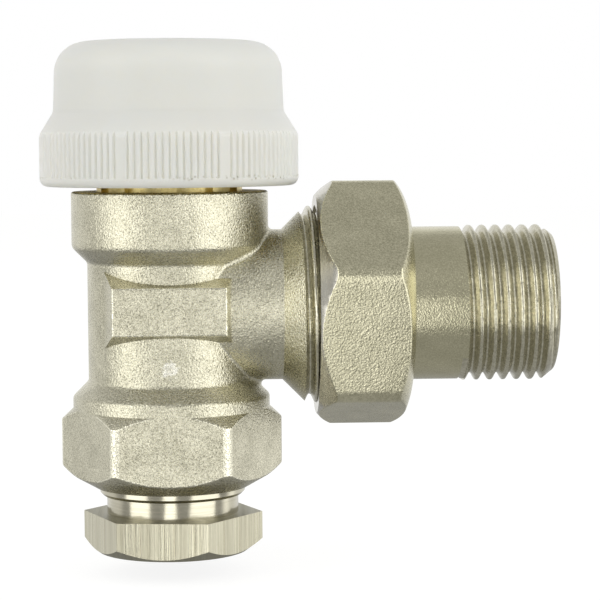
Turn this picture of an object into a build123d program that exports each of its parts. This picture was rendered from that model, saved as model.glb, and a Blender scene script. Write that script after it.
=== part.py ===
from build123d import *
import os
from math import atan, degrees, radians, sqrt, tan

# Angled radiator valve with a hand cap, in millimetres. The origin is the centre of the pipe's mouth, on the
# compression nut's lower face. Z runs up the barrel to the cap, X out along the branch to the radiator.

# Fits
thread_clearance = 0.05  # radial play of a screwed pair, both drawn at their major diameter
seat_clearance = 0.03  # radial play of pieces that stay where they are put
slide_clearance = 0.05  # radial play of a piece that slides or turns
bore_overrun = 1.0  # how far a cut runs past the face it opens

# Pipe connection
pipe_radius = 7.5
nut_across_flats = 21.0
nut_hex_height = 5.1
nut_hex_turn = 53.0  # degrees from X to a corner
nut_face_radius = 10.1
nut_chamfer_angle = 36.0
nut_neck_radius = 8.85
nut_neck_length = 2.5
nut_ring_radius = 9.75  # plain ring below the thread
nut_ring_length = 1.5
nut_ring_chamfer = 0.4
nut_thread_length = 5.2
nut_thread_radius = 10.0
nut_thread_lead_in = 0.5
nut_cone_depth = 1.4
nut_tighten_travel = 1.0
nut_standoff = 3.6  # hexagon to body at rest
olive_length = 5.35
olive_wall = 0.9
olive_edge_wall = 0.3
olive_lower_taper = 1.2
olive_upper_taper = 2.0
olive_gap = 0.05
pipe_stop_depth = 1.5  # pipe stop below the valve chamber's floor

# Valve body
branch_height = 32.95
waterway_radius = 6.0
hex_across_flats = 26.0
hex_corner_radius = 1.5
hex_length = 10.6
hex_foot_radius = 10.35
hex_foot_angle = 30.0
hex_side_angle = 38.0
hex_bend_radius = 13.2  # where the foot's cone turns steeper
hex_bend_blend = 2.5
hex_shoulder_angle = 43.0
hex_edge_radius = 0.3
ring_radius = 13.2
ring_length = 1.6
ring_edge_radius = 0.8
barrel_radius = 11.1
collar_radius = 13.15
collar_length = 7.4
collar_rise = 15.35  # branch axis to collar top
collar_edge_radius = 1.2
collar_top_edge = 0.35
barrel_blend = 0.8
pad_width = 14.9
pad_height = 6.25
pad_drop = 0.05  # pad centre below the branch axis
pad_face = 11.95  # from the barrel axis
pad_side_draft = 13.0
pad_end_draft = 21.0
pad_root = 6.0
pad_edge_radius = 0.35
branch_step = 1.0  # branch's radius under the barrel's
branch_bore = 8.0
branch_blend = 0.6
flare_start = 14.9
union_thread_radius = 13.22
union_thread_chamfer = 0.7
spigot_bore = 9.0
spigot_depth = 4.9
chamber_radius = 9.0
seat_height = 2.2
seat_lip = 0.6
seat_foot_radius = 7.6
insert_thread_radius = 11.0
insert_thread_depth = 7.0

# Insert
cap_thread_radius = 15.0
cap_thread_length = 4.2
cap_thread_chamfer = 0.5
key_ring_radius = 9.75
key_ring_height = 2.3
key_ring_sink = 0.2  # start of the ring below the collar top
key_notches = 12
key_notch_width = 2.1
key_notch_depth = 1.1
insert_skirt_length = 4.3
insert_skirt_clearance = 0.1
insert_groove_width = 1.7
insert_groove_drop = 2.1  # groove centre below the insert's shoulder
insert_ring_section = 1.4
spring_chamber_radius = 5.2
partition_drop = 0.7  # spring chamber's end below the collar top
partition_thickness = 1.8
bush_radius = 6.2
bush_thickness = 1.5
gland_thread_radius = 5.0
gland_across_flats = 10.0
gland_head_height = 2.2
gland_washer_thickness = 0.6
gland_washer_play = 0.1
gland_pocket_radius = 3.4
gland_ring_section = 1.8

# Stem and disc
cap_travel = 2.5
closing_gap = 0.02
pin_radius = 1.5
pin_margin = 0.7  # pin tip above the gland nut when shut
pin_dome = 0.5
stem_radius = 1.8
stem_tail_radius = 1.4
stem_end_length = 0.3  # stem below the disc nut
stem_top_gap = 0.05
disc_radius = 7.2
disc_thickness = 2.0
holder_radius = 7.5
holder_thickness = 1.2
holder_rim = 0.8
holder_hub_radius = 3.2
holder_hub_height = 2.0
disc_nut_across_flats = 5.5
disc_nut_height = 1.5
clip_thickness = 0.6
clip_radius = 3.2
clip_groove_radius = 1.3
clip_gap = 0.3  # clip below the partition when open
clip_mouth = 1.6
cup_thickness = 0.8
cup_radius = 4.8
cup_pilot_radius = 3.35
cup_pilot_length = 0.9
spring_radius = 4.0
spring_wire = 0.8
spring_turns = 4.0

# Hand cap
cap_gap = 0.7  # cap above the collar
cap_height = 19.1
cap_skirt_radius = 17.25
cap_drum_radius = 15.35
cap_drum_draft = 2.2
cap_shoulder_height = 6.8
cap_neck_height = 9.9
cap_top_radius = 4.1
cap_neck_blend = 1.4
cap_shoulder_blend = 1.6
cap_lip_blend = 1.1
cap_wall = 1.9
cap_top_wall = 2.0
cap_inner_blend = 2.5
cap_thread_margin = 0.3
cap_boss_radius = 3.2
cap_webs = 4
cap_web_thickness = 1.2
cap_web_drop = 3.0
cap_web_root = 0.2  # how far the webs and boss sink into the shell
rib_groups = 8
rib_places = 15  # groove places in a group, of which one is left whole
rib_first_angle = -65.0  # the whole rib that faces the front's left
rib_start = 1.2  # lip below the grooves
rib_end = 8.2
rib_groove_width = 0.5
rib_groove_depth = 0.3

# Radiator connection
union_across_flats = 30.0
union_corner_radius = 2.3
union_hex_turn = 42.6  # degrees from Y to a corner
union_start = 19.4
union_length = 12.6
union_front_radius = 14.7
union_front_angle = 44.0
union_front_edge = 0.3
union_back_radius = 10.9
union_back_drop = 2.6  # the domed back's fall from its face to a corner
union_back_edge = 0.4
union_back_wall = 2.0
union_tighten_travel = 1.6
union_tight_gap = 0.2  # branch to tail collar when tight
tail_collar_radius = 12.6
tail_collar_length = 3.4
tail_collar_gap = 0.05
tail_radius = 10.3
tail_bore = 6.75
tail_thread_radius = 10.4775
tail_thread_start = 39.2
tail_end = 51.2
tail_chamfer_length = 1.5
tail_chamfer_depth = 1.2
tail_nose_length = 4.0
tail_nose_clearance = 0.3
tail_groove_width = 1.5
tail_groove_back = 2.1  # groove centre ahead of the collar
tail_ring_section = 1.2
tail_lug_height = 1.4
tail_lug_width = 2.4
tail_lug_start = 33.0
tail_lug_length = 7.0

# Heights and radii that follow from the sizes above
pipe_bore = pipe_radius + slide_clearance
nut_ring_bottom = nut_hex_height + nut_neck_length
nut_thread_bottom = nut_ring_bottom + nut_ring_length
nut_end = nut_thread_bottom + nut_thread_length
nut_corner = nut_across_flats / sqrt(3)
nut_thread_bore = nut_thread_radius + thread_clearance
olive_edge = pipe_bore + olive_edge_wall
olive_bottom = nut_end - nut_cone_depth + olive_edge_wall + olive_gap
olive_top = olive_bottom + olive_length
body_bottom = nut_hex_height + nut_standoff
body_cone_bottom = olive_top + nut_tighten_travel + olive_gap - (nut_thread_bore - olive_edge)
body_cone_top = body_cone_bottom + nut_thread_bore - pipe_bore
hex_corner = hex_across_flats / sqrt(3)
ring_bottom = body_bottom + hex_length
ring_top = ring_bottom + ring_length
barrel_bottom = ring_top + ring_radius - barrel_radius
collar_top = branch_height + collar_rise
collar_bottom = collar_top - collar_length
barrel_top = collar_bottom - (collar_radius - barrel_radius)
branch_radius = barrel_radius - branch_step
flare_end = flare_start + union_thread_radius - branch_radius
chamber_floor = branch_height - branch_bore
pipe_stop = chamber_floor - pipe_stop_depth
seat_top = chamber_floor + seat_height
insert_seat = collar_top - insert_thread_depth
insert_bottom = insert_seat - insert_skirt_length
insert_skirt_radius = chamber_radius - insert_skirt_clearance
key_ring_bottom = collar_top - key_ring_sink
cap_thread_bottom = key_ring_bottom + key_ring_height
insert_top = cap_thread_bottom + cap_thread_length
partition_bottom = collar_top - partition_drop
gland_floor = partition_bottom + partition_thickness
gland_bottom = gland_floor + gland_washer_thickness
gland_top = insert_top + gland_head_height
bush_top = insert_bottom + bush_thickness
disc_bottom = seat_top + cap_travel + closing_gap
disc_top = disc_bottom + disc_thickness
holder_top = disc_top + holder_thickness + holder_hub_height
clip_top = partition_bottom - clip_gap
clip_bottom = clip_top - clip_thickness
cup_bottom = clip_bottom - cup_thickness
stem_top = partition_bottom - stem_top_gap
pin_tip = gland_top + cap_travel + pin_margin
pin_hole = pin_radius + slide_clearance
cap_bottom = collar_top + cap_gap
cap_top = cap_bottom + cap_height
cap_bore = cap_thread_radius + thread_clearance
cap_thread_top = insert_top + cap_travel + cap_thread_margin
cap_inner_radius = cap_drum_radius - cap_wall
cap_ceiling = cap_top - cap_top_wall
cap_drum_top_radius = cap_drum_radius - (cap_height - cap_neck_height) * tan(radians(cap_drum_draft))
union_end = union_start + union_length
union_middle = union_start + union_length / 2
union_corner = union_across_flats / sqrt(3)
union_thread_bore = union_thread_radius + thread_clearance
union_floor = union_end - union_back_wall
tail_collar_end = union_floor - tail_collar_gap
tail_collar_start = tail_collar_end - tail_collar_length
tail_nose_start = tail_collar_start - tail_nose_length
branch_length = tail_collar_start - union_tighten_travel - union_tight_gap
tail_nose_radius = spigot_bore - tail_nose_clearance

branch_plane = Plane(origin=(0, 0, branch_height), x_dir=(1, 0, 0), z_dir=(0, -1, 0))
branch_axis = Axis((0, 0, branch_height), (1, 0, 0))

os.makedirs("parts", exist_ok=True)

# The forged hexagon at the body's foot: rounded corners between two turned cones
hex_limit = hex_corner + bore_overrun
bend_rise = (hex_bend_radius - hex_foot_radius) * tan(radians(hex_foot_angle))
side_rise = bend_rise + (hex_limit - hex_bend_radius) * tan(radians(hex_side_angle))
shoulder_drop = (hex_limit - ring_radius) * tan(radians(hex_shoulder_angle))
with BuildPart() as wrench_hex:
    with BuildSketch(Plane.XY.offset(body_bottom)):
        RegularPolygon(hex_corner, 6)
    extrude(amount=hex_length)
    fillet(wrench_hex.edges().filter_by(Axis.Z), hex_corner_radius)
    with BuildSketch(Plane.XZ):
        with BuildLine():
            FilletPolyline(
                (0, body_bottom),
                (hex_foot_radius, body_bottom),
                (hex_bend_radius, body_bottom + bend_rise),
                (hex_limit, body_bottom + side_rise),
                (hex_limit, ring_bottom - shoulder_drop),
                (ring_radius, ring_bottom),
                (0, ring_bottom),
                radius=[0, hex_bend_blend, 0, 0, 0],
            )
            Line((0, ring_bottom), (0, body_bottom))
        make_face()
    revolve(axis=Axis.Z, mode=Mode.INTERSECT)
    hex_rims = wrench_hex.edges().filter_by(GeomType.HYPERBOLA) + wrench_hex.edges().filter_by(GeomType.BSPLINE)
    fillet(hex_rims, hex_edge_radius)

# The blank pad, drafted on its four sides
pad_reach = pad_face - pad_root
pad_grow_x = 2 * pad_reach * tan(radians(pad_side_draft))
pad_grow_z = 2 * pad_reach * tan(radians(pad_end_draft))
with BuildPart() as body_pad:
    with BuildSketch(branch_plane.offset(pad_root)):
        with Locations((0, -pad_drop)):
            Rectangle(pad_width + pad_grow_x, pad_height + pad_grow_z)
    with BuildSketch(branch_plane.offset(pad_face)):
        with Locations((0, -pad_drop)):
            Rectangle(pad_width, pad_height)
    loft()
    fillet(body_pad.faces().sort_by(Axis.Y)[0].edges(), pad_edge_radius)

# The body: barrel, collar and hexagon about Z, the branch about X, and the blank pad on the front
with BuildPart() as valve_body:
    with BuildSketch(Plane.XZ):
        with BuildLine():
            FilletPolyline(
                (0, body_bottom),
                (hex_foot_radius, body_bottom),
                (hex_foot_radius, ring_bottom),
                (ring_radius, ring_bottom),
                (ring_radius, ring_top),
                (barrel_radius, barrel_bottom),
                (barrel_radius, barrel_top),
                (collar_radius, collar_bottom),
                (collar_radius, collar_top),
                (0, collar_top),
                radius=[
                    0,
                    0,
                    0,
                    ring_edge_radius,
                    barrel_blend,
                    barrel_blend,
                    collar_edge_radius,
                    collar_top_edge,
                ],
            )
            Line((0, collar_top), (0, body_bottom))
        make_face()
    revolve(axis=Axis.Z)
    with BuildSketch(branch_plane):
        with BuildLine():
            Polyline(
                (0, 0),
                (0, branch_radius),
                (flare_start, branch_radius),
                (flare_end, union_thread_radius),
                (branch_length - union_thread_chamfer, union_thread_radius),
                (branch_length, union_thread_radius - union_thread_chamfer),
                (branch_length, 0),
                close=True,
            )
        make_face()
    revolve(axis=branch_axis)
    fillet(valve_body.edges().filter_by(GeomType.BSPLINE), branch_blend)
    add(wrench_hex.part)
    add(body_pad.part)
    # Pipe socket, seat, valve chamber and the insert's thread, bored from both ends
    with BuildSketch(Plane.XZ):
        with BuildLine():
            Polyline(
                (0, body_bottom - bore_overrun),
                (nut_thread_bore, body_bottom - bore_overrun),
                (nut_thread_bore, body_cone_bottom),
                (pipe_bore, body_cone_top),
                (pipe_bore, pipe_stop),
                (waterway_radius, pipe_stop),
                (waterway_radius, seat_top),
                (waterway_radius + seat_lip, seat_top),
                (seat_foot_radius, chamber_floor),
                (chamber_radius, chamber_floor),
                (chamber_radius, insert_seat),
                (insert_thread_radius, insert_seat),
                (insert_thread_radius, collar_top + bore_overrun),
                (0, collar_top + bore_overrun),
                close=True,
            )
        make_face()
    revolve(axis=Axis.Z, mode=Mode.SUBTRACT)
    with BuildSketch(branch_plane):
        with BuildLine():
            Polyline(
                (seat_foot_radius, 0),
                (seat_foot_radius, branch_bore),
                (branch_length - spigot_depth, branch_bore),
                (branch_length - spigot_depth, spigot_bore),
                (branch_length + bore_overrun, spigot_bore),
                (branch_length + bore_overrun, 0),
                close=True,
            )
        make_face()
    revolve(axis=branch_axis, mode=Mode.SUBTRACT)
valve_body.part.label = "valve_body"
export_step(valve_body.part, "parts/valve_body.step")

# The brass insert: threaded into the collar, notched for its key, with the cap's thread on top
insert_thread_major = insert_thread_radius - thread_clearance
insert_groove_radius = chamber_radius - seat_clearance - insert_ring_section - seat_clearance
insert_groove_middle = insert_seat - insert_groove_drop
with BuildPart() as insert_housing:
    with BuildSketch(Plane.XZ):
        with BuildLine():
            Polyline(
                (bush_radius, insert_bottom),
                (insert_skirt_radius, insert_bottom),
                (insert_skirt_radius, insert_groove_middle - insert_groove_width / 2),
                (insert_groove_radius, insert_groove_middle - insert_groove_width / 2),
                (insert_groove_radius, insert_groove_middle + insert_groove_width / 2),
                (insert_skirt_radius, insert_groove_middle + insert_groove_width / 2),
                (insert_skirt_radius, insert_seat),
                (insert_thread_major, insert_seat),
                (insert_thread_major, key_ring_bottom),
                (key_ring_radius, key_ring_bottom),
                (key_ring_radius, cap_thread_bottom),
                (cap_thread_radius - cap_thread_chamfer, cap_thread_bottom),
                (cap_thread_radius, cap_thread_bottom + cap_thread_chamfer),
                (cap_thread_radius, insert_top - cap_thread_chamfer),
                (cap_thread_radius - cap_thread_chamfer, insert_top),
                (gland_thread_radius, insert_top),
                (gland_thread_radius, gland_floor),
                (pin_hole, gland_floor),
                (pin_hole, partition_bottom),
                (spring_chamber_radius, partition_bottom),
                (spring_chamber_radius, bush_top),
                (bush_radius, bush_top),
                close=True,
            )
        make_face()
    revolve(axis=Axis.Z)
    with BuildSketch(Plane.XY.offset(key_ring_bottom)):
        with PolarLocations(key_ring_radius, key_notches):
            Rectangle(2 * key_notch_depth, key_notch_width)
    extrude(amount=key_ring_height, mode=Mode.SUBTRACT)
insert_housing.part.label = "insert_housing"
export_step(insert_housing.part, "parts/insert_housing.step")

with BuildPart() as insert_o_ring:
    with Locations((0, 0, insert_groove_middle)):
        Torus(insert_groove_radius + seat_clearance + insert_ring_section / 2, insert_ring_section / 2)
insert_o_ring.part.label = "insert_o_ring"
export_step(insert_o_ring.part, "parts/insert_o_ring.step")

with BuildPart() as guide_bush:
    with BuildSketch(Plane.XY.offset(insert_bottom)):
        Circle(bush_radius - seat_clearance)
        Circle(stem_radius + slide_clearance, mode=Mode.SUBTRACT)
    extrude(amount=bush_thickness)
guide_bush.part.label = "guide_bush"
export_step(guide_bush.part, "parts/guide_bush.step")

with BuildPart() as gland_washer:
    with BuildSketch(Plane.XY.offset(gland_floor)):
        Circle(gland_thread_radius - gland_washer_play)
        Circle(pin_hole, mode=Mode.SUBTRACT)
    extrude(amount=gland_washer_thickness)
gland_washer.part.label = "gland_washer"
export_step(gland_washer.part, "parts/gland_washer.step")

gland_ring_radius = pin_hole + gland_ring_section / 2
with BuildPart() as gland_o_ring:
    with Locations((0, 0, gland_bottom + gland_ring_section / 2)):
        Torus(gland_ring_radius, gland_ring_section / 2)
gland_o_ring.part.label = "gland_o_ring"
export_step(gland_o_ring.part, "parts/gland_o_ring.step")

# The gland nut holds the pin's O-ring in a pocket against the washer
gland_corner = gland_across_flats / sqrt(3)
with BuildPart() as gland_nut:
    with BuildSketch(Plane.XY.offset(gland_bottom)):
        Circle(gland_thread_radius - thread_clearance)
    extrude(amount=insert_top - gland_bottom)
    with BuildSketch(Plane.XY.offset(insert_top)):
        RegularPolygon(gland_corner, 6)
    extrude(amount=gland_head_height)
    with BuildSketch(Plane.XY.offset(gland_bottom)):
        Circle(gland_pocket_radius)
    extrude(amount=gland_ring_section + seat_clearance, mode=Mode.SUBTRACT)
    with Locations((0, 0, gland_top)):
        Hole(pin_hole)
gland_nut.part.label = "gland_nut"
export_step(gland_nut.part, "parts/gland_nut.step")

# The stem: a thin tail through the disc, a groove for the clip under its top
with BuildPart() as stem:
    with BuildSketch(Plane.XZ):
        with BuildLine():
            Polyline(
                (0, disc_bottom - disc_nut_height - stem_end_length),
                (stem_tail_radius, disc_bottom - disc_nut_height - stem_end_length),
                (stem_tail_radius, holder_top),
                (stem_radius, holder_top),
                (stem_radius, clip_bottom),
                (clip_groove_radius, clip_bottom),
                (clip_groove_radius, clip_top),
                (stem_radius, clip_top),
                (stem_radius, stem_top),
                (0, stem_top),
                close=True,
            )
        make_face()
    revolve(axis=Axis.Z)
stem.part.label = "stem"
export_step(stem.part, "parts/stem.step")

with BuildPart() as push_pin:
    with BuildSketch(Plane.XY.offset(stem_top)):
        Circle(pin_radius)
    extrude(amount=pin_tip - stem_top)
    fillet(push_pin.edges().sort_by(Axis.Z)[-1], pin_dome)
push_pin.part.label = "push_pin"
export_step(push_pin.part, "parts/push_pin.step")

tail_hole = stem_tail_radius + seat_clearance
with BuildPart() as disc_seal:
    with BuildSketch(Plane.XY.offset(disc_bottom)):
        Circle(disc_radius)
        Circle(tail_hole, mode=Mode.SUBTRACT)
    extrude(amount=disc_thickness)
disc_seal.part.label = "disc_seal"
export_step(disc_seal.part, "parts/disc_seal.step")

# The holder backs the rubber disc and keeps its rim from spreading
with BuildPart() as disc_holder:
    with BuildSketch(Plane.XZ):
        with BuildLine():
            Polyline(
                (tail_hole, disc_top),
                (disc_radius + seat_clearance, disc_top),
                (disc_radius + seat_clearance, disc_top - holder_rim),
                (holder_radius, disc_top - holder_rim),
                (holder_radius, disc_top + holder_thickness),
                (holder_hub_radius, disc_top + holder_thickness),
                (holder_hub_radius, holder_top),
                (tail_hole, holder_top),
                close=True,
            )
        make_face()
    revolve(axis=Axis.Z)
disc_holder.part.label = "disc_holder"
export_step(disc_holder.part, "parts/disc_holder.step")

with BuildPart() as disc_nut:
    with BuildSketch(Plane.XY.offset(disc_bottom - disc_nut_height)):
        RegularPolygon(disc_nut_across_flats / sqrt(3), 6)
        Circle(tail_hole, mode=Mode.SUBTRACT)
    extrude(amount=disc_nut_height)
disc_nut.part.label = "disc_nut"
export_step(disc_nut.part, "parts/disc_nut.step")

# The clip is an open ring sprung into the stem's groove
clip_bore = clip_groove_radius + seat_clearance
with BuildPart() as retaining_ring:
    with BuildSketch(Plane.XY.offset(clip_bottom)):
        Circle(clip_radius)
        Circle(clip_bore, mode=Mode.SUBTRACT)
        with Locations((clip_radius, 0)):
            Rectangle(2 * clip_radius, clip_mouth, mode=Mode.SUBTRACT)
    extrude(amount=clip_thickness)
retaining_ring.part.label = "retaining_ring"
export_step(retaining_ring.part, "parts/retaining_ring.step")

cup_bore = stem_radius + seat_clearance
with BuildPart() as spring_cup:
    with BuildSketch(Plane.XZ):
        with BuildLine():
            Polyline(
                (cup_bore, cup_bottom - cup_pilot_length),
                (cup_pilot_radius, cup_bottom - cup_pilot_length),
                (cup_pilot_radius, cup_bottom),
                (cup_radius, cup_bottom),
                (cup_radius, clip_bottom),
                (cup_bore, clip_bottom),
                close=True,
            )
        make_face()
    revolve(axis=Axis.Z)
spring_cup.part.label = "spring_cup"
export_step(spring_cup.part, "parts/spring_cup.step")

# The spring stands on the guide bush and lifts the cup
spring_length = cup_bottom - bush_top
spring_rise = spring_length - spring_wire
with BuildPart() as return_spring:
    with BuildLine() as spring_path:
        Helix(spring_rise / spring_turns, spring_rise, spring_radius, (0, 0, bush_top + spring_wire / 2))
    with BuildSketch(Plane(spring_path.line @ 0, z_dir=spring_path.line % 0)):
        Circle(spring_wire / 2)
    sweep(is_frenet=True)
return_spring.part.label = "return_spring"
export_step(return_spring.part, "parts/return_spring.step")

# The moulded cap: one turned shell, a boss on webs that meets the pin, and grooves between grip ribs
rib_pitch = 360 / (rib_groups * rib_places)
rib_reach = cap_skirt_radius + bore_overrun
rib_floor = cap_skirt_radius - rib_groove_depth
rib_flare = rib_groove_width / 2 * (bore_overrun + rib_groove_depth) / rib_groove_depth
with BuildPart() as hand_cap:
    with BuildSketch(Plane.XZ):
        with BuildLine():
            FilletPolyline(
                (0, cap_bottom),
                (cap_skirt_radius, cap_bottom),
                (cap_skirt_radius, cap_bottom + cap_shoulder_height),
                (cap_drum_radius, cap_bottom + cap_neck_height),
                (cap_drum_top_radius, cap_top),
                (0, cap_top),
                radius=[cap_lip_blend, cap_shoulder_blend, cap_neck_blend, cap_top_radius],
            )
            Line((0, cap_top), (0, cap_bottom))
        make_face()
    revolve(axis=Axis.Z)
    with BuildSketch(Plane.XZ):
        with BuildLine():
            FilletPolyline(
                (0, cap_bottom - bore_overrun),
                (cap_bore, cap_bottom - bore_overrun),
                (cap_bore, cap_thread_top),
                (cap_inner_radius, cap_thread_top),
                (cap_inner_radius, cap_ceiling),
                (0, cap_ceiling),
                radius=[0, 0, 0, cap_inner_blend],
            )
            Line((0, cap_ceiling), (0, cap_bottom - bore_overrun))
        make_face()
    revolve(axis=Axis.Z, mode=Mode.SUBTRACT)
    with BuildSketch(Plane.XY.offset(cap_ceiling - cap_web_drop)):
        with PolarLocations(0, cap_webs):
            Rectangle(cap_inner_radius + cap_web_root, cap_web_thickness, align=(Align.MIN, Align.CENTER))
    extrude(amount=cap_web_drop + cap_web_root)
    with BuildSketch(Plane.XY.offset(pin_tip)):
        Circle(cap_boss_radius)
    extrude(amount=cap_ceiling - pin_tip + cap_web_root)
    with BuildSketch(Plane.XY.offset(cap_bottom + rib_start)):
        for group in range(rib_groups):
            first_groove = rib_first_angle + (group * rib_places + 1) * rib_pitch
            with PolarLocations(0, rib_places - 1, first_groove, rib_pitch * (rib_places - 1)):
                Polygon((rib_floor, 0), (rib_reach, rib_flare), (rib_reach, -rib_flare), align=None)
    extrude(amount=rib_end - rib_start, mode=Mode.SUBTRACT)
hand_cap.part.label = "hand_cap"
export_step(hand_cap.part, "parts/hand_cap.step")

# The tailpiece: a sealed nose, a collar that the union nut pulls on, a tube and the radiator's thread
tail_groove_middle = tail_collar_start - tail_groove_back
tail_groove_radius = spigot_bore - slide_clearance - tail_ring_section - seat_clearance
with BuildPart() as tailpiece:
    with BuildSketch(branch_plane):
        with BuildLine():
            Polyline(
                (tail_nose_start, tail_bore),
                (tail_nose_start, tail_nose_radius),
                (tail_groove_middle - tail_groove_width / 2, tail_nose_radius),
                (tail_groove_middle - tail_groove_width / 2, tail_groove_radius),
                (tail_groove_middle + tail_groove_width / 2, tail_groove_radius),
                (tail_groove_middle + tail_groove_width / 2, tail_nose_radius),
                (tail_collar_start, tail_nose_radius),
                (tail_collar_start, tail_collar_radius),
                (tail_collar_end, tail_collar_radius),
                (tail_collar_end, tail_radius),
                (tail_thread_start, tail_radius),
                (tail_thread_start, tail_thread_radius),
                (tail_end - tail_chamfer_length, tail_thread_radius),
                (tail_end, tail_thread_radius - tail_chamfer_depth),
                (tail_end, tail_bore),
                close=True,
            )
        make_face()
    revolve(axis=branch_axis)
    # Two lugs in the bore take the key that turns the tail into the radiator
    with BuildSketch(Plane(origin=(tail_lug_start, 0, branch_height), x_dir=(0, 1, 0), z_dir=(1, 0, 0))):
        with PolarLocations(0, 2):
            with Locations((tail_bore - tail_lug_height, 0)):
                Rectangle(
                    tail_lug_height + (tail_radius - tail_bore) / 2,
                    tail_lug_width,
                    align=(Align.MIN, Align.CENTER),
                )
    extrude(amount=tail_lug_length)
tailpiece.part.label = "tailpiece"
export_step(tailpiece.part, "parts/tailpiece.step")

tail_ring_plane = Plane(origin=(tail_groove_middle, 0, branch_height), x_dir=(0, 1, 0), z_dir=(1, 0, 0))
with BuildPart(tail_ring_plane) as tail_o_ring:
    Torus(spigot_bore - slide_clearance - tail_ring_section / 2, tail_ring_section / 2)
tail_o_ring.part.label = "tail_o_ring"
export_step(tail_o_ring.part, "parts/tail_o_ring.step")

# The union nut: a forged hexagon with rounded corners, turned to a cone in front and a dome behind
union_limit = union_corner + bore_overrun
union_front_run = (union_limit - union_front_radius) * tan(radians(union_front_angle))
union_dome_width = union_corner - union_back_radius
union_dome_radius = (union_dome_width**2 + union_back_drop**2) / (2 * union_back_drop)
union_dome_sweep = degrees(2 * atan(union_back_drop / union_dome_width))
union_dome_centre = (union_end - union_dome_radius, union_back_radius)
with BuildPart() as union_nut:
    with BuildSketch(Plane(origin=(union_start, 0, branch_height), x_dir=(0, 1, 0), z_dir=(1, 0, 0))):
        RegularPolygon(union_corner, 6, rotation=union_hex_turn)
    extrude(amount=union_length)
    fillet(union_nut.edges().filter_by(Axis.X), union_corner_radius)
    with BuildSketch(branch_plane):
        with BuildLine():
            back_dome = CenterArc(union_dome_centre, union_dome_radius, 0, union_dome_sweep)
            Polyline(
                back_dome @ 1,
                (union_start + union_front_run, union_limit),
                (union_start, union_front_radius),
                (union_start, 0),
                (union_end, 0),
                back_dome @ 0,
            )
        make_face()
    revolve(axis=branch_axis, mode=Mode.INTERSECT)
    union_rims = union_nut.edges().filter_by(GeomType.HYPERBOLA) + union_nut.edges().filter_by(GeomType.BSPLINE)
    fillet(union_rims.filter_by_position(Axis.X, union_middle, union_end), union_back_edge)
    union_rims = union_nut.edges().filter_by(GeomType.HYPERBOLA) + union_nut.edges().filter_by(GeomType.BSPLINE)
    fillet(union_rims.filter_by_position(Axis.X, union_start, union_middle), union_front_edge)
    with BuildSketch(branch_plane):
        with BuildLine():
            Polyline(
                (union_start - bore_overrun, 0),
                (union_start - bore_overrun, union_thread_bore),
                (union_floor, union_thread_bore),
                (union_floor, tail_radius + slide_clearance),
                (union_end + bore_overrun, tail_radius + slide_clearance),
                (union_end + bore_overrun, 0),
                close=True,
            )
        make_face()
    revolve(axis=branch_axis, mode=Mode.SUBTRACT)
union_nut.part.label = "union_nut"
export_step(union_nut.part, "parts/union_nut.step")

# The olive, tapered at both ends to wedge between nut and body
with BuildPart() as compression_ring:
    with BuildSketch(Plane.XZ):
        with BuildLine():
            Polyline(
                (pipe_bore, olive_bottom),
                (olive_edge, olive_bottom),
                (pipe_bore + olive_wall, olive_bottom + olive_lower_taper),
                (pipe_bore + olive_wall, olive_top - olive_upper_taper),
                (olive_edge, olive_top),
                (pipe_bore, olive_top),
                close=True,
            )
        make_face()
    revolve(axis=Axis.Z)
compression_ring.part.label = "compression_ring"
export_step(compression_ring.part, "parts/compression_ring.step")

# The compression nut: hexagon bar turned down to a neck and a male thread, with a cone for the olive
nut_limit = nut_corner + bore_overrun
nut_limit_rise = (nut_limit - nut_face_radius) * tan(radians(nut_chamfer_angle))
with BuildPart() as compression_nut:
    with BuildSketch(Plane.XY):
        RegularPolygon(nut_corner, 6, rotation=nut_hex_turn)
    extrude(amount=nut_hex_height)
    with BuildSketch(Plane.XZ):
        with BuildLine():
            Polyline(
                (0, 0),
                (nut_face_radius, 0),
                (nut_limit, nut_limit_rise),
                (nut_limit, nut_hex_height),
                (0, nut_hex_height),
                close=True,
            )
        make_face()
    revolve(axis=Axis.Z, mode=Mode.INTERSECT)
    with BuildSketch(Plane.XZ):
        with BuildLine():
            Polyline(
                (0, nut_hex_height),
                (nut_neck_radius, nut_hex_height),
                (nut_neck_radius, nut_ring_bottom),
                (nut_ring_radius - nut_ring_chamfer, nut_ring_bottom),
                (nut_ring_radius, nut_ring_bottom + nut_ring_chamfer),
                (nut_ring_radius, nut_thread_bottom),
                (nut_thread_radius, nut_thread_bottom),
                (nut_thread_radius, nut_end - nut_thread_lead_in),
                (nut_thread_radius - nut_thread_lead_in, nut_end),
                (0, nut_end),
                close=True,
            )
        make_face()
    revolve(axis=Axis.Z)
    with BuildSketch(Plane.XZ):
        with BuildLine():
            Polyline(
                (0, 0),
                (pipe_bore, 0),
                (pipe_bore, nut_end - nut_cone_depth),
                (pipe_bore + nut_cone_depth, nut_end),
                (0, nut_end),
                close=True,
            )
        make_face()
    revolve(axis=Axis.Z, mode=Mode.SUBTRACT)
compression_nut.part.label = "compression_nut"
export_step(compression_nut.part, "parts/compression_nut.step")
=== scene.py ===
from math import atan2, degrees, hypot, pi, radians, tan

import bmesh
import bpy
from mathutils import Euler, Matrix, Vector


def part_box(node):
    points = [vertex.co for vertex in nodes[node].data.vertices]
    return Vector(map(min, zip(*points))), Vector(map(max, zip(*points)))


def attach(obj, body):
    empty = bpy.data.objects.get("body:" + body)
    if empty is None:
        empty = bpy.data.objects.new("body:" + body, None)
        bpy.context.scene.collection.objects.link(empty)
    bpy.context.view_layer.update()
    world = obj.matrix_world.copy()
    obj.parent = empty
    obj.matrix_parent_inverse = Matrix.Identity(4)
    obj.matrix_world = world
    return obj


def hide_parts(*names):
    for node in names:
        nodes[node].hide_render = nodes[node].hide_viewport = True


# Angled radiator valve: plated forging, white hand cap, threaded tail.
# Sizes are in metres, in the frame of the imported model.

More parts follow.
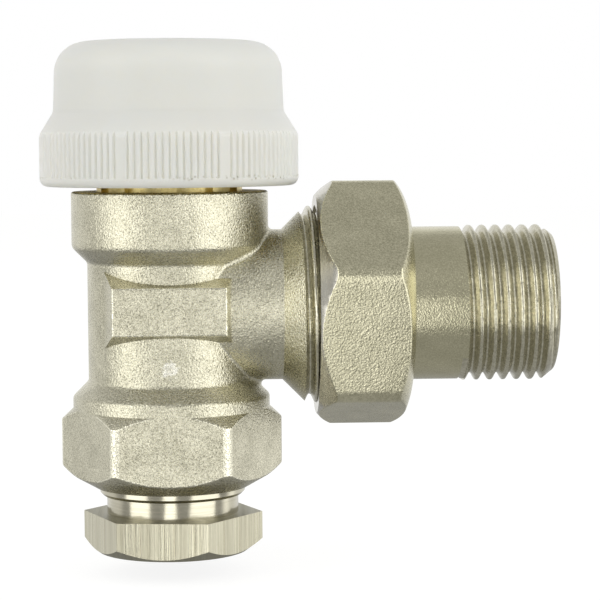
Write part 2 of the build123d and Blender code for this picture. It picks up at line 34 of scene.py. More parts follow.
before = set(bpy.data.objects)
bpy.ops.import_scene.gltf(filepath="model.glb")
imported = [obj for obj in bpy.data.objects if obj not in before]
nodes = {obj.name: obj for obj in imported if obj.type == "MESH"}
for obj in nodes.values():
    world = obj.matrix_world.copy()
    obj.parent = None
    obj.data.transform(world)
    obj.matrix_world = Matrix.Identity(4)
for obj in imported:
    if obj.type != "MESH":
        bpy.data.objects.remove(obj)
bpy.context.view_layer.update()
scene = bpy.context.scene
scene.view_settings.view_transform = "Standard"
print("frame loaded with", len(nodes), "nodes")


# Small helpers for node trees

def feed(tree, socket, value):
    if isinstance(value, bpy.types.NodeSocket):
        tree.links.new(value, socket)
    else:
        socket.default_value = value


def addNode(tree, kind, inputs=None, **settings):
    node = tree.nodes.new(kind)
    for name, value in settings.items():
        setattr(node, name, value)
    for key, value in (inputs or {}).items():
        feed(tree, node.inputs[key], value)
    return node


def calc(tree, operation, a, b=0.0):
    return addNode(tree, "ShaderNodeMath", {0: a, 1: b}, operation=operation).outputs[0]


def remap(tree, value, low, high, toLow=0.0, toHigh=1.0, kind="LINEAR"):
    sizes = {"Value": value, "From Min": low, "From Max": high, "To Min": toLow, "To Max": toHigh}
    return addNode(tree, "ShaderNodeMapRange", sizes, interpolation_type=kind).outputs["Result"]


def blendColor(tree, factor, a, b):
    return addNode(tree, "ShaderNodeMix", {0: factor, 6: a, 7: b}, data_type="RGBA").outputs[2]


def blendValue(tree, factor, a, b):
    return addNode(tree, "ShaderNodeMix", {0: factor, 2: a, 3: b}, data_type="FLOAT").outputs[0]


def addNoise(tree, where, scale, detail=2.0, roughness=0.5):
    sizes = {"Vector": where, "Scale": scale, "Detail": detail, "Roughness": roughness}
    return addNode(tree, "ShaderNodeTexNoise", sizes).outputs


def blankTree(owner):
    owner.use_nodes = True
    owner.node_tree.nodes.clear()
    return owner.node_tree


def newGroup(name, inputs, outputs):
    group = bpy.data.node_groups.new(name, "ShaderNodeTree")
    for socket, kind in inputs:
        group.interface.new_socket(socket, in_out="INPUT", socket_type=kind)
    for socket in outputs:
        group.interface.new_socket(socket, in_out="OUTPUT", socket_type="NodeSocketFloat")
    return group, addNode(group, "NodeGroupInput").outputs, addNode(group, "NodeGroupOutput")


def placeGroup(tree, group, inputs):
    return addNode(tree, "ShaderNodeGroup", inputs, node_tree=group).outputs


# Effects that several finishes share

vectorAndScale = [("Vector", "NodeSocketVector"), ("Scale", "NodeSocketFloat")]
pitSizes = [("Radius", "NodeSocketFloat"), ("Share", "NodeSocketFloat")]
grainShape = {"dentScale": 0.7, "dentDepth": 0.5, "cloudScale": 0.06, "cloudDetail": 3.0}
lineShape = {"detail": 4.0, "roughness": 0.7, "broadScale": 0.15}
noiseSpan = (0.3, 0.7)  # most of a noise's values lie in here
noiseCore = (0.35, 0.65)


def makeBlastGrain(s):
    group, given, out = newGroup("blastGrain", vectorAndScale, ("Height", "Tone", "Shine"))
    where, scale = given["Vector"], given["Scale"]
    fine = addNoise(group, where, scale)
    dents = addNode(group, "ShaderNodeTexVoronoi",
                    {"Vector": where, "Scale": calc(group, "MULTIPLY", scale, s["dentScale"])})
    cloud = addNoise(group, where, calc(group, "MULTIPLY", scale, s["cloudScale"]), s["cloudDetail"])
    apart = addNode(group, "ShaderNodeSeparateColor", {"Color": fine["Color"]})
    dent = calc(group, "MULTIPLY", dents.outputs["Distance"], s["dentDepth"])
    feed(group, out.inputs["Height"], calc(group, "ADD", fine["Fac"], dent))
    feed(group, out.inputs["Tone"], cloud["Fac"])
    feed(group, out.inputs["Shine"], apart.outputs[1])
    return group


def makeSparsePits():
    group, given, out = newGroup("sparsePits", vectorAndScale + pitSizes, ("Mask",))
    cells = addNode(group, "ShaderNodeTexVoronoi", {"Vector": given["Vector"], "Scale": given["Scale"]})
    chance = addNode(group, "ShaderNodeSeparateColor", {"Color": cells.outputs["Color"]}).outputs[0]
    chosen = calc(group, "LESS_THAN", chance, given["Share"])
    spot = remap(group, cells.outputs["Distance"], given["Radius"], 0.0, kind="SMOOTHSTEP")
    feed(group, out.inputs["Mask"], calc(group, "MULTIPLY", chosen, spot))
    return group


def makeToolLines(s):
    group, given, out = newGroup("toolLines", vectorAndScale, ("Height", "Shine"))
    where, scale = given["Vector"], given["Scale"]
    lines = addNoise(group, where, scale, s["detail"], s["roughness"])
    broad = addNoise(group, where, calc(group, "MULTIPLY", scale, s["broadScale"]))
    feed(group, out.inputs["Height"], lines["Fac"])
    feed(group, out.inputs["Shine"], broad["Fac"])
    return group


blastGrain = makeBlastGrain(grainShape)
sparsePits = makeSparsePits()
toolLines = makeToolLines(lineShape)


def startMaterial(name):
    material = bpy.data.materials.new(name)
    tree = blankTree(material)
    shader = addNode(tree, "ShaderNodeBsdfPrincipled")
    out = addNode(tree, "ShaderNodeOutputMaterial")
    tree.links.new(shader.outputs[0], out.inputs["Surface"])
    where = addNode(tree, "ShaderNodeTexCoord").outputs["Object"]
    return material, tree, shader.inputs, where


def addBump(tree, shader, height, depth):
    bump = addNode(tree, "ShaderNodeBump", {"Height": height, "Distance": depth, "Strength": 1.0})
    tree.links.new(bump.outputs[0], shader["Normal"])


# Blasted nickel: a fine dented skin over the forging. One nick on the body shows bright.

blastedFinish = {"dark": (0.36, 0.343, 0.25, 1), "light": (0.79, 0.757, 0.594, 1), "grain": 4800.0,
                 "grainDepth": 0.00008, "roughLow": 0.18, "roughHigh": 0.34,
                 "sparkSpan": (0.32, 0.68), "sparkShare": 0.7, "cloudShare": 0.3,
                 "pitScale": 210.0, "pitRadius": 0.05, "pitShare": 0.3, "pitColor": (0.20, 0.17, 0.11, 1),
                 "nickAt": (-0.00005, -0.0111, 0.0253), "nickSize": 0.00105, "nickCentre": 0.4,
                 "nickRing": (0.15, 0.55), "nickEdge": (1.1, 0.5), "nickGrain": 1900.0, "nickFray": 0.4,
                 "nickColor": (0.83, 0.81, 0.72, 1)}
nutFinish = dict(blastedFinish, dark=(0.40, 0.38, 0.258, 1), light=(0.75, 0.712, 0.515, 1), grain=4600.0,
                 grainDepth=0.000035, pitShare=0.12, nickSize=0)
tubeFinish = dict(nutFinish, dark=(0.45, 0.427, 0.285, 1), light=(0.66, 0.626, 0.44, 1), grain=5600.0,
                  grainDepth=0.00002, pitShare=0.2, roughLow=0.14, roughHigh=0.24)
# a lighter copy of the blasted nickel for the hex corners and the pad's rim: a painted highlight where these
# rounded edges catch the light
paintedHighlightFinish = dict(blastedFinish, dark=(0.62, 0.595, 0.455, 1), light=(0.95, 0.92, 0.76, 1), pitShare=0.1,
                    roughLow=0.14, roughHigh=0.30, nickSize=0)


def addNick(tree, where, skin, s):
    ragged = addNoise(tree, where, s["nickGrain"])["Fac"]
    away = addNode(tree, "ShaderNodeVectorMath", {0: where, 1: s["nickAt"]}, operation="DISTANCE")
    spread = calc(tree, "DIVIDE", away.outputs["Value"], s["nickSize"])
    spread = calc(tree, "ADD", spread, remap(tree, ragged, *noiseCore, -s["nickFray"], s["nickFray"]))
    ring = remap(tree, spread, *s["nickRing"], s["nickCentre"], 1.0)  # the middle of the nick is duller
    mask = calc(tree, "MULTIPLY", ring, remap(tree, spread, *s["nickEdge"]))
    return blendColor(tree, mask, skin, s["nickColor"])


def blastedNickel(name, s):
    material, tree, shader, where = startMaterial(name)
    grain = placeGroup(tree, blastGrain, {"Vector": where, "Scale": s["grain"]})
    pits = placeGroup(tree, sparsePits, {"Vector": where, "Scale": s["pitScale"], "Radius": s["pitRadius"],
                                         "Share": s["pitShare"]})
    spark = calc(tree, "MULTIPLY", remap(tree, grain["Shine"], *s["sparkSpan"]), s["sparkShare"])
    cloud = calc(tree, "MULTIPLY", remap(tree, grain["Tone"], *noiseSpan), s["cloudShare"])
    skin = blendColor(tree, calc(tree, "ADD", spark, cloud), s["dark"], s["light"])
    if s["nickSize"]:
        skin = addNick(tree, where, skin, s)
    feed(tree, shader["Base Color"], blendColor(tree, pits["Mask"], skin, s["pitColor"]))
    feed(tree, shader["Roughness"], remap(tree, grain["Shine"], *noiseSpan, s["roughLow"], s["roughHigh"]))
    shader["Metallic"].default_value = 1.0
    addBump(tree, shader, grain["Height"], s["grainDepth"])
    return material


# Machined metal: the stretch of the coordinates lets the tool lines run round or along the piece

threadFinish = {"dark": (0.41, 0.39, 0.285, 1), "light": (0.69, 0.66, 0.525, 1), "stretch": (1, 1, 1),
                "lines": 2600.0, "depth": 0.00002, "roughLow": 0.13, "roughHigh": 0.34}
neckFinish = {"dark": (0.46, 0.435, 0.335, 1), "light": (0.57, 0.54, 0.425, 1), "stretch": (0.02, 0.02, 1),
              "lines": 5000.0, "depth": 0.000004, "roughLow": 0.13, "roughHigh": 0.20}
drawnFinish = {"dark": (0.42, 0.396, 0.287, 1), "light": (0.63, 0.602, 0.464, 1), "stretch": (1, 1, 0.02),
               "lines": 2400.0, "depth": 0.00003, "roughLow": 0.18, "roughHigh": 0.36}
facedFinish = {"dark": (0.53, 0.505, 0.43, 1), "light": (0.65, 0.635, 0.565, 1), "stretch": (1, 0.03, 0.03),
               "lines": 4000.0, "depth": 0.000008, "roughLow": 0.14, "roughHigh": 0.24}
# a darker copy of the faced finish for the compression nut's upward and downward faces: a rougher turned
# finish, with painted shade in its colour
shadedTurnedFinish = dict(facedFinish, dark=(0.30, 0.288, 0.215, 1), light=(0.40, 0.382, 0.285, 1), roughLow=0.36,
                    roughHigh=0.52)
boredFinish = {"dark": (0.49, 0.465, 0.37, 1), "light": (0.62, 0.58, 0.475, 1), "stretch": (1, 1, 1),
               "lines": 2400.0, "depth": 0.00001, "roughLow": 0.25, "roughHigh": 0.40}
brassFinish = {"dark": (0.62, 0.50, 0.20, 1), "light": (0.90, 0.77, 0.38, 1), "stretch": (1, 1, 1),
               "lines": 1500.0, "depth": 0.00002, "roughLow": 0.26, "roughHigh": 0.42}
steelFinish = {"dark": (0.50, 0.50, 0.49, 1), "light": (0.66, 0.66, 0.65, 1), "stretch": (0.05, 0.05, 1),
               "lines": 5000.0, "depth": 0.000006, "roughLow": 0.18, "roughHigh": 0.32}
wireFinish = {"dark": (0.32, 0.32, 0.33, 1), "light": (0.52, 0.52, 0.53, 1), "stretch": (1, 1, 0.3),
              "lines": 3000.0, "depth": 0.000008, "roughLow": 0.25, "roughHigh": 0.40}


def machinedMetal(name, s):
    material, tree, shader, where = startMaterial(name)
    stretched = addNode(tree, "ShaderNodeMapping", {"Vector": where, "Scale": s["stretch"]}).outputs[0]
    lines = placeGroup(tree, toolLines, {"Vector": stretched, "Scale": s["lines"]})
    tone = remap(tree, lines["Height"], *noiseSpan)
    feed(tree, shader["Base Color"], blendColor(tree, tone, s["dark"], s["light"]))
    feed(tree, shader["Roughness"], remap(tree, lines["Shine"], *noiseSpan, s["roughLow"], s["roughHigh"]))
    shader["Metallic"].default_value = 1.0
    addBump(tree, shader, lines["Height"], s["depth"])
    return material


# White moulded plastic, with dust caught where the grooves end above the lip

capFinish = {"cool": (0.775, 0.782, 0.738, 1), "warm": (0.797, 0.79, 0.733, 1), "broad": 60.0,
             "satin": 5200.0, "depth": 0.000006, "roughLow": 0.38, "roughHigh": 0.50,
             "specks": 2100.0, "speckRadius": 0.6, "speckShare": 0.7, "speckColor": (0.30, 0.27, 0.18, 1),
             "speckHeight": 0.0502, "speckBand": 0.0005, "patches": 130.0, "patchSpan": (0.44, 0.58),
             "glow": 0.9, "glowRadius": (1.0, 0.95, 0.85), "glowScale": 0.0025}


def capPlastic(name, s):
    material, tree, shader, where = startMaterial(name)
    grain = placeGroup(tree, blastGrain, {"Vector": where, "Scale": s["satin"]})
    broad = addNoise(tree, where, s["broad"])["Fac"]
    skin = blendColor(tree, remap(tree, broad, *noiseCore), s["cool"], s["warm"])
    height = addNode(tree, "ShaderNodeSeparateXYZ", {"Vector": where}).outputs["Z"]
    away = calc(tree, "ABSOLUTE", calc(tree, "SUBTRACT", height, s["speckHeight"]))
    band = remap(tree, away, s["speckBand"], 0.0, kind="SMOOTHSTEP")
    dots = placeGroup(tree, sparsePits, {"Vector": where, "Scale": s["specks"], "Radius": s["speckRadius"],
                                         "Share": s["speckShare"]})
    patches = remap(tree, addNoise(tree, where, s["patches"])["Fac"], *s["patchSpan"])
    dirt = calc(tree, "MULTIPLY", calc(tree, "MULTIPLY", band, dots["Mask"]), patches)
    feed(tree, shader["Base Color"], blendColor(tree, dirt, skin, s["speckColor"]))
    feed(tree, shader["Roughness"], remap(tree, grain["Shine"], *noiseSpan, s["roughLow"], s["roughHigh"]))
    shader["Subsurface Weight"].default_value = s["glow"]
    shader["Subsurface Radius"].default_value = s["glowRadius"]
    shader["Subsurface Scale"].default_value = s["glowScale"]
    addBump(tree, shader, grain["Height"], s["depth"])
    return material


# Moulded black rubber of the rings and the disc

rubberFinish = {"dark": (0.018, 0.018, 0.018, 1), "light": (0.045, 0.045, 0.045, 1), "grain": 2600.0,
                "depth": 0.00001, "roughLow": 0.55, "roughHigh": 0.75}


def blackRubber(name, s):
    material, tree, shader, where = startMaterial(name)
    grain = placeGroup(tree, blastGrain, {"Vector": where, "Scale": s["grain"]})
    feed(tree, shader["Base Color"], blendColor(tree, grain["Tone"], s["dark"], s["light"]))
    feed(tree, shader["Roughness"], remap(tree, grain["Shine"], *noiseSpan, s["roughLow"], s["roughHigh"]))
    addBump(tree, shader, grain["Height"], s["depth"])
    return material


blasted = blastedNickel("blastedNickel", blastedFinish)
# painted highlight for the hex corners and the pad's rim
paintedHighlightMetal = blastedNickel("paintedHighlightNickel", paintedHighlightFinish)
blastedNut = blastedNickel("blastedNutNickel", nutFinish)
satinTube = blastedNickel("satinTubeNickel", tubeFinish)
threadMetal = machinedMetal("cutThreadNickel", threadFinish)
neckMetal = machinedMetal("turnedNeckNickel", neckFinish)
drawnMetal = machinedMetal("drawnBarNickel", drawnFinish)
facedMetal = machinedMetal("facedNickel", facedFinish)
# darker turned nickel: painted shade on the nut's upward and downward faces
shadedTurnedMetal = machinedMetal("shadedTurnedFaceNickel", shadedTurnedFinish)
boredMetal = machinedMetal("boredNickel", boredFinish)
brass = machinedMetal("turnedBrass", brassFinish)
steel = machinedMetal("groundSteel", steelFinish)
wire = machinedMetal("springWire", wireFinish)
rubber = blackRubber("blackRubber", rubberFinish)
plastic = capPlastic("whitePlastic", capFinish)
print("finishes made:", len(bpy.data.materials))


# A thread is cut by a die: a ring whose bore follows the thread's rule

dieSizes = ("Start", "End", "Crest Radius", "Outer Radius", "Depth", "Pitch", "Crest At", "Fade Start",
            "Fade Length")
dieInputs = [("Geometry", "NodeSocketGeometry")] + [(name, "NodeSocketFloat") for name in dieSizes]
dieInputs += [("Rows", "NodeSocketInt"), ("Around", "NodeSocketInt"), ("Material", "NodeSocketMaterial")]
crestFlat = 0.10  # shares of half a pitch
rootFlat = 0.06
dieWeld = 1e-6
copyWeld = 1e-7


def makeDieTree():
    tree = bpy.data.node_groups.new("threadDie", "GeometryNodeTree")
    for name, kind in dieInputs:
        tree.interface.new_socket(name, in_out="INPUT", socket_type=kind)
    tree.interface.new_socket("Geometry", in_out="OUTPUT", socket_type="NodeSocketGeometry")
    given = addNode(tree, "NodeGroupInput").outputs
    rows, span = given["Rows"], calc(tree, "SUBTRACT", given["End"], given["Start"])

    # A flat sheet is rolled up: rows of the bore first, then two of the outer wall
    lastRow = calc(tree, "ADD", rows, 2)
    sheet = addNode(tree, "GeometryNodeMeshGrid", {"Size X": lastRow, "Size Y": 1.0,
                                                   "Vertices X": calc(tree, "ADD", rows, 3),
                                                   "Vertices Y": calc(tree, "ADD", given["Around"], 1)})
    at = addNode(tree, "ShaderNodeSeparateXYZ", {0: addNode(tree, "GeometryNodeInputPosition").outputs[0]})
    turn = calc(tree, "ADD", at.outputs["Y"], 0.5)
    row = calc(tree, "ROUND", calc(tree, "ADD", at.outputs["X"], calc(tree, "MULTIPLY", lastRow, 0.5)))
    row = calc(tree, "FLOORED_MODULO", row, lastRow)  # the last row is the first again
    outside = calc(tree, "GREATER_THAN", row, calc(tree, "SUBTRACT", rows, 0.5))
    farSide = calc(tree, "LESS_THAN", row, calc(tree, "ADD", rows, 0.5))
    share = calc(tree, "DIVIDE", row, calc(tree, "SUBTRACT", rows, 1))
    share = blendValue(tree, outside, share, farSide)
    along = calc(tree, "ADD", given["Start"], calc(tree, "MULTIPLY", span, share))

    # The groove climbs one pitch a turn, and fades in where the thread starts
    climb = calc(tree, "DIVIDE", calc(tree, "SUBTRACT", along, given["Crest At"]), given["Pitch"])
    phase = calc(tree, "FRACT", calc(tree, "SUBTRACT", climb, turn))
    slope = calc(tree, "ABSOLUTE", calc(tree, "SUBTRACT", calc(tree, "MULTIPLY", phase, 2), 1))
    groove = remap(tree, slope, 1 - crestFlat, rootFlat, kind="SMOOTHSTEP")
    fadeEnd = calc(tree, "ADD", given["Fade Start"], given["Fade Length"])
    groove = calc(tree, "MULTIPLY", groove, remap(tree, along, given["Fade Start"], fadeEnd))
    bore = calc(tree, "SUBTRACT", given["Crest Radius"], calc(tree, "MULTIPLY", groove, given["Depth"]))
    radius = blendValue(tree, outside, bore, given["Outer Radius"])
    angle = calc(tree, "MULTIPLY", turn, 2 * pi)
    spot = addNode(tree, "ShaderNodeCombineXYZ",
                   {"X": calc(tree, "MULTIPLY", radius, calc(tree, "COSINE", angle)),
                    "Y": calc(tree, "MULTIPLY", radius, calc(tree, "SINE", angle)), "Z": along})
    shaped = addNode(tree, "GeometryNodeSetPosition", {"Geometry": sheet.outputs["Mesh"],
                                                       "Position": spot.outputs[0]})
    closed = addNode(tree, "GeometryNodeMergeByDistance", {"Geometry": shaped.outputs[0],
                                                           "Distance": dieWeld})
    real = addNode(tree, "GeometryNodeRealizeInstances", {0: closed.outputs[0]})
    dressed = addNode(tree, "GeometryNodeSetMaterial", {"Geometry": real.outputs[0],
                                                        "Material": given["Material"]})
    out = addNode(tree, "NodeGroupOutput")
    tree.links.new(dressed.outputs[0], out.inputs["Geometry"])
    return tree


def plainMesh(obj):
    graph = bpy.context.evaluated_depsgraph_get()
    mesh = bpy.data.meshes.new_from_object(obj.evaluated_get(graph))
    obj.modifiers.clear()
    obj.data = mesh
    return mesh


def newPiece(name, mesh):
    obj = bpy.data.objects.new(name, mesh)
    scene.collection.objects.link(obj)
    return obj


dieTree = makeDieTree()


def makeDie(name, s, place):
    die = newPiece(name, bpy.data.meshes.new(name))
    modifier = die.modifiers.new("shape", "NODES")
    modifier.node_group = dieTree
    for socket in dieTree.interface.items_tree:
        if socket.in_out == "INPUT" and socket.name in s:
            modifier[socket.identifier] = s[socket.name]
    mesh = plainMesh(die)
    mesh.transform(place)
    shape = bmesh.new()
    shape.from_mesh(mesh)
    bmesh.ops.recalc_face_normals(shape, faces=shape.faces)
    shape.to_mesh(mesh)
    shape.free()
    return die


def copyNode(node, name, material):
    mesh = nodes[node].data.copy()
    if "custom_normal" in mesh.attributes:
        mesh.attributes.remove(mesh.attributes["custom_normal"])
    shape = bmesh.new()
    shape.from_mesh(mesh)
    bmesh.ops.remove_doubles(shape, verts=shape.verts, dist=copyWeld)
    shape.to_mesh(mesh)
    shape.free()
    mesh.materials.clear()
    mesh.materials.append(material)
    return newPiece(name, mesh)


def cutThread(piece, die):
    cut = piece.modifiers.new("thread", "BOOLEAN")
    cut.operation = "DIFFERENCE"
    cut.solver = "EXACT"
    cut.material_mode = "TRANSFER"
    cut.object = die
    plainMesh(piece)
    bpy.data.objects.remove(die)


def smoothPiece(piece, sharpAngle=32.0):
    piece.data.shade_smooth()
    piece.data.set_sharp_from_angle(angle=radians(sharpAngle))
    weights = piece.modifiers.new("weights", "WEIGHTED_NORMAL")
    weights.keep_sharp = True
    plainMesh(piece)


def paintFaces(piece, choose):
    mesh = piece.data
    base = mesh.materials[0]
    for face in mesh.polygons:
        if mesh.materials[face.material_index] == base:  # cut threads keep their own finish
            material = choose(face.center, face.normal)
            if material is not None:
                if material.name not in mesh.materials:
                    mesh.materials.append(material)
                face.material_index = mesh.materials.find(material.name)


def finishPiece(piece, node, body):
    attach(piece, body)
    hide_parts(node)
    print(piece.name, "has", len(piece.data.polygons), "faces")


tailLow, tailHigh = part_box("tailpiece")
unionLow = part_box("union_nut")[0]
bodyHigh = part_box("valve_body")[1]
branchHeight = (tailLow.z + tailHigh.z) / 2
alongBranch = Euler((radians(90), 0, radians(90))).to_matrix().to_4x4()  # turns a die's axis from Z to X
onBranch = Matrix.Translation((0, 0, branchHeight)) @ alongBranch
pipeThreadPitch = 0.0254 / 14
squareOn = 0.9  # a face whose normal has this much of an axis lies across it


def fromBranch(point):
    return hypot(point.y, point.z - branchHeight)


def facesBranch(point, normal):
    return point.y * normal.y + (point.z - branchHeight) * normal.z < 0


def facesBarrel(point, normal):
    return point.x * normal.x + point.y * normal.y < 0


# Forged body, with the union's thread run out into its flare

bodyShape = {"thread": {"Start": 0.0164, "End": 0.0256, "Crest Radius": 0.01321, "Outer Radius": 0.0148,
                        "Depth": 0.00112, "Pitch": pipeThreadPitch, "Crest At": 0.018036, "Fade Start": 0.010,
                        "Fade Length": 0.001, "Rows": 104, "Around": 144, "Material": threadMetal},
             "branchStart": 0.0135, "branchBore": 0.0096, "barrelBore": 0.0112, "topBand": 0.0002,
             "hexTop": 0.0193, "hexTilt": 0.3, "flatTurn": 2.0,
             "padReach": 0.0077, "padRise": 0.0035, "padRim": 0.0114, "rimFacing": (0.42, 0.97)}


def onHexCorner(point, normal):
    if point.z > bodyShape["hexTop"] or abs(normal.z) > bodyShape["hexTilt"]:
        return False
    fromFlat = degrees(atan2(normal.y, normal.x)) % 60 - 30  # the flats face 30, 90, 150 degrees and so on
    return abs(fromFlat) > bodyShape["flatTurn"]


def onPadRim(point, normal):
    low, high = bodyShape["rimFacing"]
    near = abs(point.x) < bodyShape["padReach"] and abs(point.z - branchHeight) < bodyShape["padRise"]
    return near and point.y < -bodyShape["padRim"] and low < -normal.y < high


def pickBodyFinish(point, normal):
    if point.x > bodyShape["branchStart"]:
        bore = facesBranch(point, normal) and fromBranch(point) < bodyShape["branchBore"]
        return boredMetal if bore or normal.x > squareOn else None
    bore = facesBarrel(point, normal) and hypot(point.x, point.y) < bodyShape["barrelBore"]
    if bore or (normal.z > squareOn and point.z > bodyHigh.z - bodyShape["topBand"]):
        return boredMetal
    # the hex corners and the pad's rim take the lighter nickel, a painted highlight
    return paintedHighlightMetal if onHexCorner(point, normal) or onPadRim(point, normal) else None


valveBody = copyNode("valve_body", "forgedBody", blasted)
cutThread(valveBody, makeDie("bodyDie", bodyShape["thread"], onBranch))
paintFaces(valveBody, pickBodyFinish)
smoothPiece(valveBody)
finishPiece(valveBody, "valve_body", "valve")


# Union nut, machined on the end and chamfer that face the body

unionShape = {"frontRadius": 0.0147, "frontAngle": 44.0, "frontFacing": 0.6, "frontBand": 0.00012,
              "boreRadius": 0.0134}


def pickUnionFinish(point, normal):
    out = fromBranch(point)
    coneRun = max(out - unionShape["frontRadius"], 0) * tan(radians(unionShape["frontAngle"]))
    atFront = point.x < unionLow.x + coneRun + unionShape["frontBand"]
    if atFront and normal.x < -unionShape["frontFacing"]:
        return facedMetal
    return boredMetal if facesBranch(point, normal) and out < unionShape["boreRadius"] else None


unionNut = copyNode("union_nut", "unionNut", blastedNut)
paintFaces(unionNut, pickUnionFinish)
smoothPiece(unionNut)
finishPiece(unionNut, "union_nut", "union")


# Tailpiece, with the radiator's thread

tailShape = {"thread": {"Start": 0.0379, "End": tailHigh.x + 0.0008, "Crest Radius": 0.010467,
                        "Outer Radius": 0.0120, "Depth": 0.00098, "Pitch": pipeThreadPitch,
                        "Crest At": 0.039716, "Fade Start": 0.0382, "Fade Length": 0.0010, "Rows": 152,
                        "Around": 144, "Material": threadMetal},
             "threadStart": 0.0384, "boreRadius": 0.0071}


def pickTailFinish(point, normal):
    if facesBranch(point, normal) and fromBranch(point) < tailShape["boreRadius"]:
        return boredMetal
    return threadMetal if point.x > tailShape["threadStart"] else None


tail = copyNode("tailpiece", "threadedTail", satinTube)
cutThread(tail, makeDie("tailDie", tailShape["thread"], onBranch))
paintFaces(tail, pickTailFinish)
smoothPiece(tail)
finishPiece(tail, "tailpiece", "tail")


# Compression nut, turned from hexagon bar

nutShape = {"thread": {"Start": 0.0088, "End": 0.0150, "Crest Radius": 0.00999, "Outer Radius": 0.0110,
                       "Depth": 0.00072, "Pitch": 0.0015, "Crest At": 0.0093, "Fade Start": 0.0090,
                       "Fade Length": 0.0007, "Rows": 80, "Around": 128, "Material": threadMetal},
            "neckStart": 0.0052, "boreRadius": 0.0078, "endFacing": 0.3}


def pickNutFinish(point, normal):
    if facesBarrel(point, normal) and hypot(point.x, point.y) < nutShape["boreRadius"]:
        return boredMetal
    if point.z > nutShape["neckStart"]:
        return neckMetal
    # faces that point up or down take the darker turned nickel, which is painted shade
    return shadedTurnedMetal if abs(normal.z) > nutShape["endFacing"] else None


compressionNut = copyNode("compression_nut", "compressionNut", drawnMetal)
cutThread(compressionNut, makeDie("nutDie", nutShape["thread"], Matrix.Identity(4)))
paintFaces(compressionNut, pickNutFinish)
smoothPiece(compressionNut)
finishPiece(compressionNut, "compression_nut", "pipe_nut")


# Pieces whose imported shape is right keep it, and get their finish

nodeFinishes = {"hand_cap": plastic, "insert_housing": brass, "guide_bush": brass, "gland_nut": brass,
                "disc_holder": brass, "disc_nut": brass, "compression_ring": brass, "gland_washer": steel,
                "stem": steel, "push_pin": steel, "spring_cup": steel, "retaining_ring": wire,
                "return_spring": wire, "disc_seal": rubber, "insert_o_ring": rubber, "gland_o_ring": rubber,
                "tail_o_ring": rubber}
for node, material in nodeFinishes.items():
    for slot in nodes[node].material_slots:
        slot.link = "OBJECT"
        slot.material = material
print("finishes set on", len(nodeFinishes), "packed pieces")


# Studio: a pale floor, a white surround and three soft panels

white = (1, 1, 1, 1)
panels = {"leftPanel": {"azimuth": -59, "elevation": 8, "distance": 0.55, "width": 0.39, "height": 0.80,
                        "level": 1.8},
          "rightPanel": {"azimuth": 54, "elevation": 8, "distance": 0.55, "width": 0.51, "height": 0.80,
                         "level": 1.67},
          "frontStrip": {"azimuth": -4, "elevation": -12, "distance": 0.60, "width": 0.20, "height": 0.50,
                         "level": 2.0}}
panelTarget = Vector((0, 0, 0.034))


def addPanel(name, s):
    lamp = bpy.data.lights.new(name, "AREA")
    lamp.shape = "RECTANGLE"
    lamp.size, lamp.size_y = s["width"], s["height"]
    lamp.energy = s["level"] * pi * s["width"] * s["height"]
    panel = bpy.data.objects.new(name, lamp)
    turnTo = Euler((radians(90 - s["elevation"]), 0, radians(s["azimuth"])))
    panel.rotation_euler = turnTo
    panel.location = panelTarget + turnTo.to_matrix() @ Vector((0, 0, s["distance"]))
    scene.collection.objects.link(panel)


for name, settings in panels.items():
    addPanel(name, settings)


# The floor stands clear of the lowered nut, and mirrored rays pass through it

floorShape = {"size": 3.0, "drop": 0.0032, "color": (0.72, 0.72, 0.70, 1), "shade": 0.32, "glow": 1.27}


def makeFloor(s):
    side = s["size"] / 2
    mesh = bpy.data.meshes.new("floor")
    corners = [(-side, -side), (side, -side), (side, side), (-side, side)]
    mesh.from_pydata([(x, y, -s["drop"]) for x, y in corners], [], [(0, 1, 2, 3)])
    material = bpy.data.materials.new("paleFloor")
    tree = blankTree(material)
    rays = addNode(tree, "ShaderNodeLightPath").outputs
    shade = addNode(tree, "ShaderNodeBsdfDiffuse", {"Color": s["color"]})
    glow = addNode(tree, "ShaderNodeEmission", {"Color": white, "Strength": s["glow"]})
    seen = calc(tree, "MULTIPLY", rays["Is Camera Ray"], 1 - s["shade"])
    mix = addNode(tree, "ShaderNodeMixShader", {0: seen, 1: shade.outputs[0], 2: glow.outputs[0]})
    clear = addNode(tree, "ShaderNodeBsdfTransparent")
    mirrored = addNode(tree, "ShaderNodeMixShader", {0: rays["Is Glossy Ray"], 1: mix.outputs[0],
                                                     2: clear.outputs[0]})
    out = addNode(tree, "ShaderNodeOutputMaterial")
    tree.links.new(mirrored.outputs[0], out.inputs["Surface"])
    mesh.materials.append(material)
    newPiece("floor", mesh)


# Levels of the surround, and the spans of direction in which one passes into the next

surround = {"frontLevel": 0.48, "sideLevel": 0.46, "skyLevel": 0.53, "groundLevel": 0.42,
            "backLeft": 0.90, "backRight": 0.98, "rightGain": 0.9, "groundFall": 0.3,
            "frontSpan": (-0.7, 0.0), "backSpan": (0.02, 0.35), "acrossSpan": (-0.3, 0.8),
            "rightSpan": (0.85, 0.97), "fallSpan": (0.4, 0.8), "groundSpan": (-0.30, -0.06),
            "skySpan": (0.3, 0.8), "backdropSpan": (0.6, 0.9)}


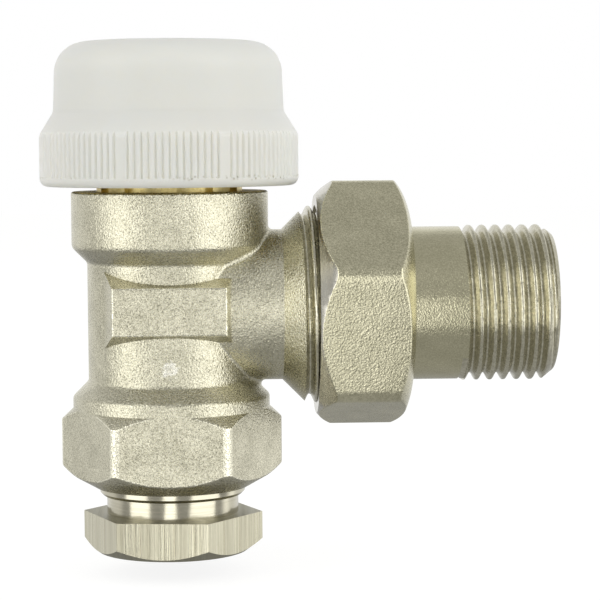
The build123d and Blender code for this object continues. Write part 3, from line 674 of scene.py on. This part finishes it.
def makeWorld(s):
    world = bpy.data.worlds.new("studio")
    scene.world = world
    tree = blankTree(world)
    way = addNode(tree, "ShaderNodeTexCoord").outputs["Generated"]
    ways = addNode(tree, "ShaderNodeSeparateXYZ", {0: way}).outputs
    front = remap(tree, ways["Y"], *s["frontSpan"], s["frontLevel"], s["sideLevel"], kind="SMOOTHSTEP")
    back = remap(tree, ways["Y"], *s["backSpan"], kind="SMOOTHSTEP")
    backLevel = remap(tree, ways["X"], *s["acrossSpan"], s["backLeft"], s["backRight"])
    backLevel = calc(tree, "ADD", backLevel, remap(tree, ways["X"], *s["rightSpan"], 0.0, s["rightGain"]))
    sideways = calc(tree, "ABSOLUTE", ways["X"])
    height = calc(tree, "ADD", ways["Z"], remap(tree, sideways, *s["fallSpan"], 0.0, s["groundFall"]))
    aboveGround = remap(tree, height, *s["groundSpan"])
    backdrop = remap(tree, ways["Y"], *s["backdropSpan"], kind="SMOOTHSTEP")  # what stands behind the valve
    backdrop = calc(tree, "MULTIPLY", backdrop, aboveGround)
    level = blendValue(tree, back, front, backLevel)
    level = blendValue(tree, remap(tree, ways["Z"], *s["skySpan"]), level, s["skyLevel"])
    level = blendValue(tree, aboveGround, s["groundLevel"], level)
    rays = addNode(tree, "ShaderNodeLightPath").outputs
    mirrored = calc(tree, "MAXIMUM", rays["Is Glossy Ray"], rays["Is Transmission Ray"])
    seen = calc(tree, "MAXIMUM", rays["Is Camera Ray"], calc(tree, "MULTIPLY", mirrored, backdrop))
    strength = blendValue(tree, seen, level, 1.0)
    glow = addNode(tree, "ShaderNodeBackground", {"Color": white, "Strength": strength})
    out = addNode(tree, "ShaderNodeOutputWorld")
    tree.links.new(glow.outputs[0], out.inputs["Surface"])


makeFloor(floorShape)
makeWorld(surround)


# Camera at the photograph's viewing angle

view = {"place": (0.003719, -0.288763, 0.054681), "turn": (85.804, 0.380, -2.736), "lens": 129.13,
        "sensor": 36.0, "clipStart": 0.01}
camera = bpy.data.cameras.new("camera")
camera.lens, camera.sensor_width, camera.clip_start = view["lens"], view["sensor"], view["clipStart"]
cameraObject = bpy.data.objects.new("camera", camera)
cameraObject.location = view["place"]
cameraObject.rotation_euler = [radians(angle) for angle in view["turn"]]
scene.collection.objects.link(cameraObject)
scene.camera = cameraObject
print("studio and camera set")
